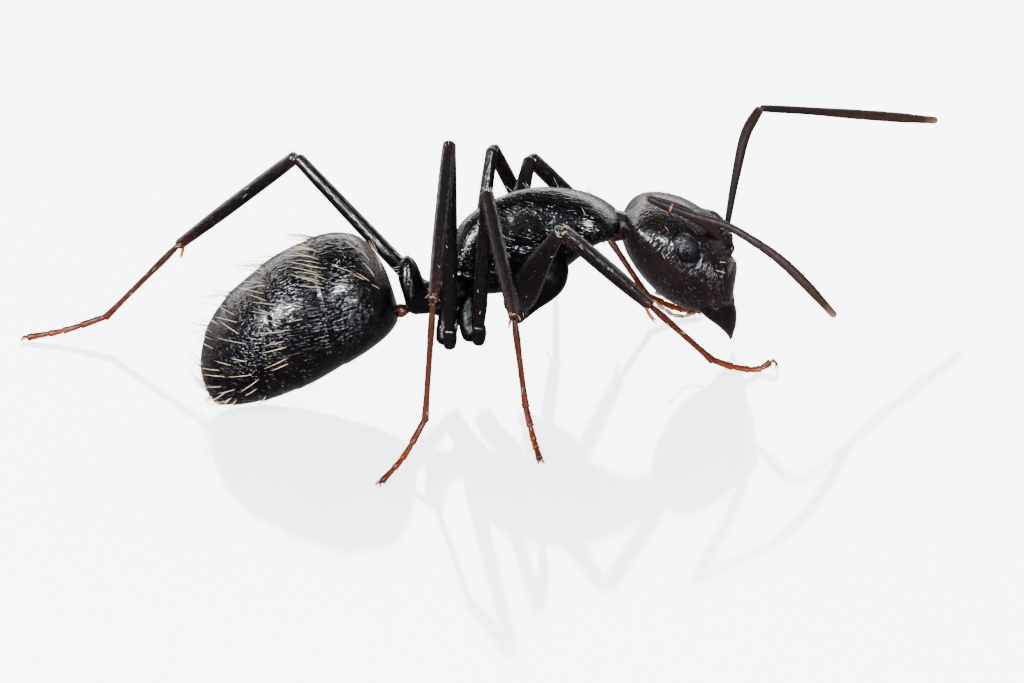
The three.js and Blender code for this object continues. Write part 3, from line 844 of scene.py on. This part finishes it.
class Hairs:
    """Tapered solid hairs gathered into one mesh. OFBake gives each a small patch where its root is."""

    def __init__(self):
        self.verts, self.faces, self.run, self.bake = [], [], [], []

    def add(self, root, way, out, length, width, uv, rings=4, sides=3, droop=0.15):
        way, out = unit(way), unit(out)
        if way[2] < 0:
            # a hair that points down stops above the floor
            length = min(length, max(root[2] - FLOOR_GAP, SHORTEST_DROP) / -way[2])
        side = unit(np.cross(way, out) + 1e-9)
        start = len(self.verts)
        u0, v0 = (min(max(x, PATCH_EDGE), 1 - PATCH_EDGE) for x in uv)
        for k in range(rings):
            w = k / rings
            at = root + way * length * w - out * length * droop * w * w
            size = width * (1 - 0.75 * w)
            for j in range(sides):
                turn = 2 * math.pi * j / sides
                self.verts.append(at + (side * math.cos(turn) + np.cross(side, way) * math.sin(turn)) * size)
        self.verts.append(root + way * length - out * length * droop)

        def corners(*face):
            self.faces.append(tuple(start + f for f in face))
            for f in face:
                k, j = divmod(f, sides)
                w = min(k / rings, 1.0)
                self.run.append((j / sides, w))
                self.bake.append((u0 + HAIR_PATCH * (j / sides - 0.5), v0 + HAIR_PATCH * (w - 0.5)))

        for k in range(rings - 1):
            near, far = k * sides, (k + 1) * sides
            for j in range(sides):
                n = (j + 1) % sides
                corners(near + j, near + n, far + n, far + j)
        last, tip = (rings - 1) * sides, rings * sides
        for j in range(sides):
            corners(last + j, last + (j + 1) % sides, tip)
        corners(*reversed(range(sides)))

    def build(self, name, skin, slot):
        make(name, np.array(self.verts), self.faces, skin, {"Run": self.run, "OFBake": self.bake}, ())


def spread(surface, hairs, t, a, length, width, lift, back=1.0, wander=0.15, lie=None,
           patch=(0, 0, 1, 1), **more):
    """One hair at shares t and a of a surface, leaning along it by back, or the way it is told to lie, and
    out from it by lift. patch is the surface's own part of the unwrap: its corner and its size."""
    point, out, along = surface.at(t, a)
    if lie is not None:
        along = unit(np.asarray(lie, float) - out * np.dot(lie, out) * 0.8)
    aside = np.cross(out, along)
    way = along * back + out * lift + aside * chance.normal(0, wander)
    spot = (patch[0] + a * patch[2], patch[1] + t * patch[3])
    hairs.add(point - out * width, way, out, length, width, spot, **more)


bristles = Hairs()
REARWARD = np.array([-1, 0, 0.1])


def gaster_bristle(t, a, length):
    """Bristles lean rearwards, those above a little up and those below well down."""
    top = -math.cos(a * 2 * math.pi)  # 1 along the back and -1 underneath
    lift = chance.uniform(0.3, 0.5) + 0.4 * max(-top, 0)
    width = chance.uniform(0.008, 0.0105)
    rise = 0.5 * top if top > 0 else 1.1 * top
    spread(gaster, bristles, t, a, length * (1.05 + 0.45 * top), width, lift, lie=REARWARD + [0, 0, rise])


# a fringe behind each plate's edge: how many bristles, and where round the plate it starts and stops
for end, count, low in zip(PLATE_ENDS, (30, 32, 28, 18), (0.33, 0.2, 0.0, 0.0)):
    for k in range(count):
        around = low + (1 - 2 * low) * (k + chance.uniform(0.2, 0.8)) / count
        gaster_bristle(end - 0.008 - chance.uniform(0, 0.03), around, chance.uniform(0.34, 0.62))
for _ in range(90):
    gaster_bristle(1 - 0.6 * chance.uniform(0.04, 1) ** 1.4, chance.uniform(0, 1), chance.uniform(0.28, 0.5))
for _ in range(24):
    gaster_bristle(chance.uniform(0.1, 0.4), chance.uniform(0.3, 0.7), chance.uniform(0.25, 0.45))
bristles.build("gaster_bristles", golden, "shell")

# Rows of surface, number of hairs, where they are along and round it, their lengths, and how they lie.
SHORT_HAIRS = (
    (gaster, 1500, (0.08, 0.96), (0, 1), (0.07, 0.12),
     dict(lift=0.12, wander=0.12, lie=REARWARD, patch=(0, 0, 0.5, 1))),
    (thorax, 700, (0.06, 0.95), (0.08, 0.92), (0.06, 0.11),
     dict(lift=0.25, back=-1.0, wander=0.3, patch=(0.5, 0, 0.25, 1))),
    (head, 700, (0.05, 0.95), (0, 1), (0.06, 0.11), dict(lift=0.2, wander=0.2, patch=(0.75, 0, 0.25, 1))),
)
short_hairs = Hairs()
for surface, count, where, around, lengths, lying in SHORT_HAIRS:
    for _ in range(count):
        t, a = chance.uniform(*where), chance.uniform(*around)
        spread(surface, short_hairs, t, a, chance.uniform(*lengths), 0.003, rings=2, droop=0.02, **lying)
short_hairs.build("short_hairs", pale, "shell")

# The same for the hairs that stand along the middle of the back, which scatter to each side of it.
ERECT_HAIRS = (
    (thorax, 34, (0.15, 0.8), 0.09, (0.2, 0.42), 0.0065,
     dict(lift=2.0, back=-0.9, wander=0.5, patch=(0, 0, 0.4, 1))),
    (head, 36, (0.1, 0.93), 0.14, (0.14, 0.26), 0.007, dict(lift=1.2, wander=0.5, patch=(0.4, 0, 0.4, 1))),
    (petiole, 12, (0.3, 0.55), 0.12, (0.22, 0.36), 0.007,
     dict(lift=2.0, back=-0.4, wander=0.6, patch=(0.8, 0, 0.2, 1))),
)
erect_hairs = Hairs()
for surface, count, where, scatter, lengths, width, lying in ERECT_HAIRS:
    for _ in range(count):
        t, a = chance.uniform(*where), 0.5 + chance.normal(0, scatter)
        spread(surface, erect_hairs, t, a, chance.uniform(*lengths), width, **lying)
erect_hairs.build("erect_hairs", golden, "shell")

leg_hairs, leg_bristles = Hairs(), Hairs()
CELL = (1 / 6, 1 / 4)  # the unwrap's part for one limb: six legs across and four limbs up


def limb_coat(limb, hair_count, bristle_count, size, own):
    """Fine hairs all over a limb, and a few bristles."""
    for _ in range(hair_count):
        t, a = chance.uniform(0.05, 0.97), chance.uniform(0, 1)
        length = size * chance.uniform(0.7, 1.3)
        spread(limb, leg_hairs, t, a, length, 0.0035, 0.45, wander=0.2, patch=own, rings=2, droop=0.02)
    for _ in range(bristle_count):
        t, a = chance.uniform(0.1, 0.97), chance.uniform(0, 1)
        length = chance.uniform(1.5, 2.6) * size
        spread(limb, leg_bristles, t, a, length, 0.0055, 0.6, wander=0.25, patch=own)


def tuft(limb, at, count, back, own):
    """Bristles round one end of a limb."""
    for _ in range(count):
        t, a = at + chance.uniform(-0.02, 0.02), chance.uniform(0, 1)
        length = chance.uniform(0.09, 0.17)
        spread(limb, leg_bristles, t, a, length, 0.006, 0.5, back=back, wander=0.4, patch=own)


for column, limb in enumerate(limbs.values()):
    rows = ((limb["femur"], 80, 3, 0.06), (limb["tibia"], 160, 3, 0.075), (limb["tarsus"][0], 110, 7, 0.06),
            (limb["tarsus"][1], 70, 8, 0.06))
    for row, (surface, hair_count, bristle_count, size) in enumerate(rows):
        limb_coat(surface, hair_count, bristle_count, size, (column * CELL[0], row * CELL[1], *CELL))
for column, (name, limb) in enumerate(limbs.items()):
    at_trochanter = 14 if name == "hind_right" else 3
    rows = ((limb["tibia"], 0.03, 9, -0.8), (limb["tibia"], 0.97, 9, 0.8),
            (limb["femur"], 0.02, at_trochanter, 0.8))
    for row, (surface, at, count, back) in enumerate(rows):
        tuft(surface, at, count, back, (column * CELL[0], row * CELL[1], *CELL))
leg_hairs.build("leg_hairs", reddish, "legs")
leg_bristles.build("leg_bristles", golden, "legs")

# ---- floor, lights and camera ----------------------------------------------------------------

FLOOR_GLOW = 3.25
FLOOR_IOR = 2.9  # high, for the strong mirror image of a polished floor
FLOOR_HALF_WIDTH = 1.5


def make_floor():
    made, _, shader = material("pale_floor", (0.86, 0.865, 0.875), 0.07, 0.5)
    shader.inputs["IOR"].default_value = FLOOR_IOR
    shader.inputs["Emission Color"].default_value = (0.98, 0.99, 1, 1)
    shader.inputs["Emission Strength"].default_value = FLOOR_GLOW
    mesh = bpy.data.meshes.new("floor")
    edge = FLOOR_HALF_WIDTH
    corners = [(-edge, -edge, 0), (edge, -edge, 0), (edge, edge, 0), (-edge, edge, 0)]
    mesh.from_pydata(corners, [], [(0, 1, 2, 3)])
    mesh.materials.append(made)
    floor = bpy.data.objects.new("floor", mesh)
    bpy.context.scene.collection.objects.link(floor)
    # as black flags round the set would do, this keeps the floor's white out of the shell's gloss
    floor.visible_glossy = False


make_floor()

# The camera looks along +Y and down, rolled a little. It aims AIM_UP over the plan's own zero and takes in
# FRAME_WIDTH there, both in millimetres.
ELEVATION, ROLL = math.radians(20), math.radians(7)
LENS, SENSOR = 600.0, 36
FRAME_WIDTH, AIM_UP = 20.48, 0.62
ahead = np.array([0, math.cos(ELEVATION), -math.sin(ELEVATION)])
level_up = np.array([0, math.sin(ELEVATION), math.cos(ELEVATION)])
level_right = np.array([1.0, 0, 0])
right = math.cos(ROLL) * level_right - math.sin(ROLL) * level_up
up = math.sin(ROLL) * level_right + math.cos(ROLL) * level_up
target = level_up * AIM_UP - CENTRE
spot = (target - ahead * (LENS / SENSOR * FRAME_WIDTH)) * MM

camera_data = bpy.data.cameras.new("camera")
camera_data.lens = LENS
camera_data.sensor_width = SENSOR
camera_data.clip_start = 0.01
camera_data.clip_end = 10
camera = bpy.data.objects.new("camera", camera_data)
bpy.context.scene.collection.objects.link(camera)
camera.matrix_world = Matrix((
    (right[0], up[0], -ahead[0], spot[0]),
    (right[1], up[1], -ahead[1], spot[1]),
    (right[2], up[2], -ahead[2], spot[2]),
    (0, 0, 0, 1),
))
bpy.context.scene.camera = camera

LIGHT_AIM = (-0.001, 0, 0.002)
DAYLIGHT = (0.9, 0.94, 1.0)
SPARK_DISTANCE = 0.16


def lamp(name, place, size, power):
    data = bpy.data.lights.new(name, "AREA")
    data.shape = "RECTANGLE"
    data.size, data.size_y = size
    data.energy = power
    data.color = DAYLIGHT
    made = bpy.data.objects.new(name, data)
    bpy.context.scene.collection.objects.link(made)
    made.location = place
    made.rotation_euler = (Vector(LIGHT_AIM) - Vector(place)).to_track_quat("-Z", "Y").to_euler()
    return made


key = lamp("key", (-0.058, -0.085, 0.115), (0.15, 0.06), 0.55)
key.visible_glossy = False
# Small hard lamps that only make sparks of gloss: their way from the ant, size in metres and power in watts.
SPARKS = {
    "spark_middle": ((0.22, -0.78, 0.58), (0.045, 0.03), 2.3),
    "spark_side": ((-0.58, -0.6, 0.55), (0.07, 0.03), 2.7),
    "spark_low": ((0.55, -0.82, 0.12), (0.03, 0.02), 0.35),
}
for name, (way, size, power) in SPARKS.items():
    spark = lamp(name, [SPARK_DISTANCE * v for v in way], size, power)
    spark.visible_diffuse = False

WORLD_STRENGTH = 11.0


def make_world():
    """A dim studio with one long bright strip low behind the ant, which makes the floor shine and leaves the
    shell black."""
    world = bpy.data.worlds.new("world")
    bpy.context.scene.world = world
    world.use_nodes = True
    tree = world.node_tree
    coords = node(tree, "ShaderNodeTexCoord")
    way = node(tree, "ShaderNodeSeparateXYZ")
    tree.links.new(coords.outputs["Generated"], way.inputs[0])
    strip = [(0.0, grey(0.03)), (0.18, grey(0.12)), (0.25, grey(1)), (0.44, grey(1)), (0.52, grey(0.12)),
             (1.0, grey(0.14))]
    height = ramp(tree, way.outputs["Z"], strip)
    behind = ramp(tree, way.outputs["Y"], [(0.0, grey(0.08)), (0.45, grey(0.45)), (0.8, grey(1))])
    background = tree.nodes["Background"]
    tree.links.new(multiplied(tree, height, behind), background.inputs["Color"])
    background.inputs["Strength"].default_value = WORLD_STRENGTH


make_world()
